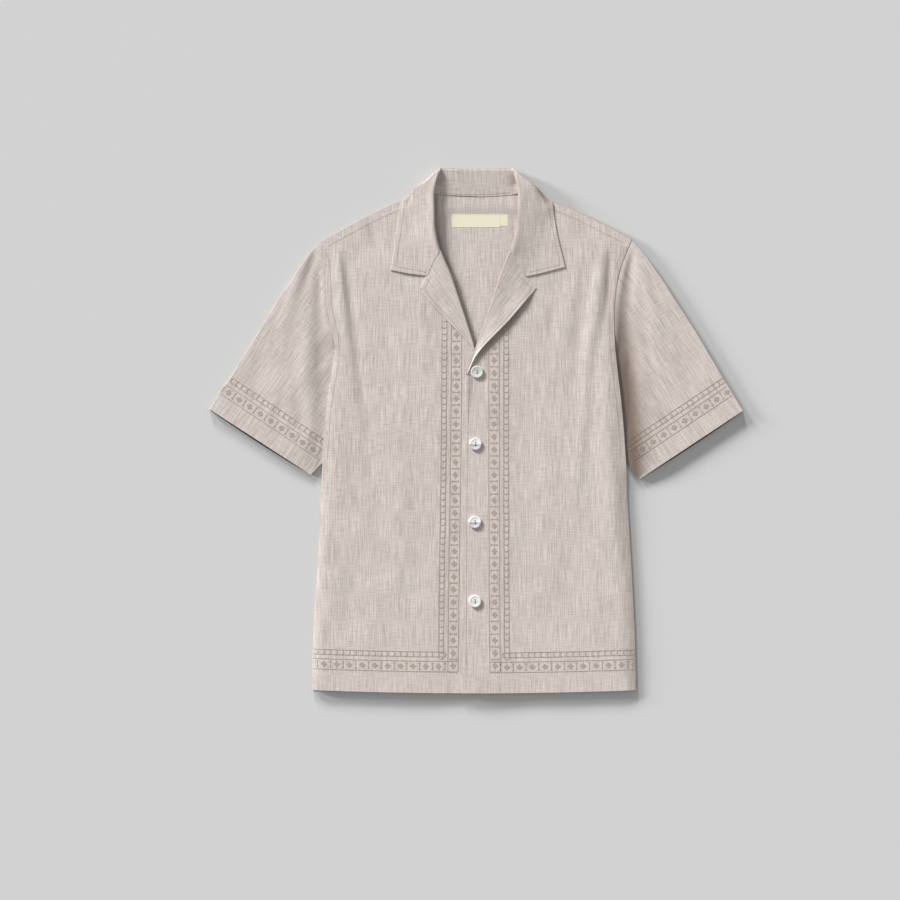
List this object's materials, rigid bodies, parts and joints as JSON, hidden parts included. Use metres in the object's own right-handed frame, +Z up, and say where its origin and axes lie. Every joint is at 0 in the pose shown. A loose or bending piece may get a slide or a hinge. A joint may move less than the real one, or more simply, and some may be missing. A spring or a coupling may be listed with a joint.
{
  "type": "short-sleeved linen shirt laid flat",
  "caption": "Short-sleeved linen shirt with a notched camp collar, shell buttons and embroidered borders, laid flat with its front up.",
  "frame": {"origin": "under the middle of the shirt's outline, on the surface it lies on", "axes": "+Z up out of the front, +Y towards the collar, +X towards the wearer's left"},
  "size_m": [0.747, 0.735, 0.0116],
  "materials": {
    "linen": "slubby plain-weave linen, washed, matt, with topstitched edges",
    "woven_label": "smooth cream woven label, bare",
    "shell": "polished mother-of-pearl with a soft grey sheen",
    "thread": "matt embroidery and sewing thread, a little darker than the cloth"
  },
  "bodies": {
    "root": {"back": "linen", "shoulder_right": "linen", "shoulder_left": "linen", "front_right": "linen", "front_left": "linen", "sleeve_right": "linen", "sleeve_left": "linen", "collar": "linen", "lapel_right": "linen", "lapel_left": "linen", "label": "woven_label", "size_tab": "woven_label", "button_1": "shell", "button_2": "shell", "button_3": "shell", "button_4": "shell"}
  },
  "joints": []
}
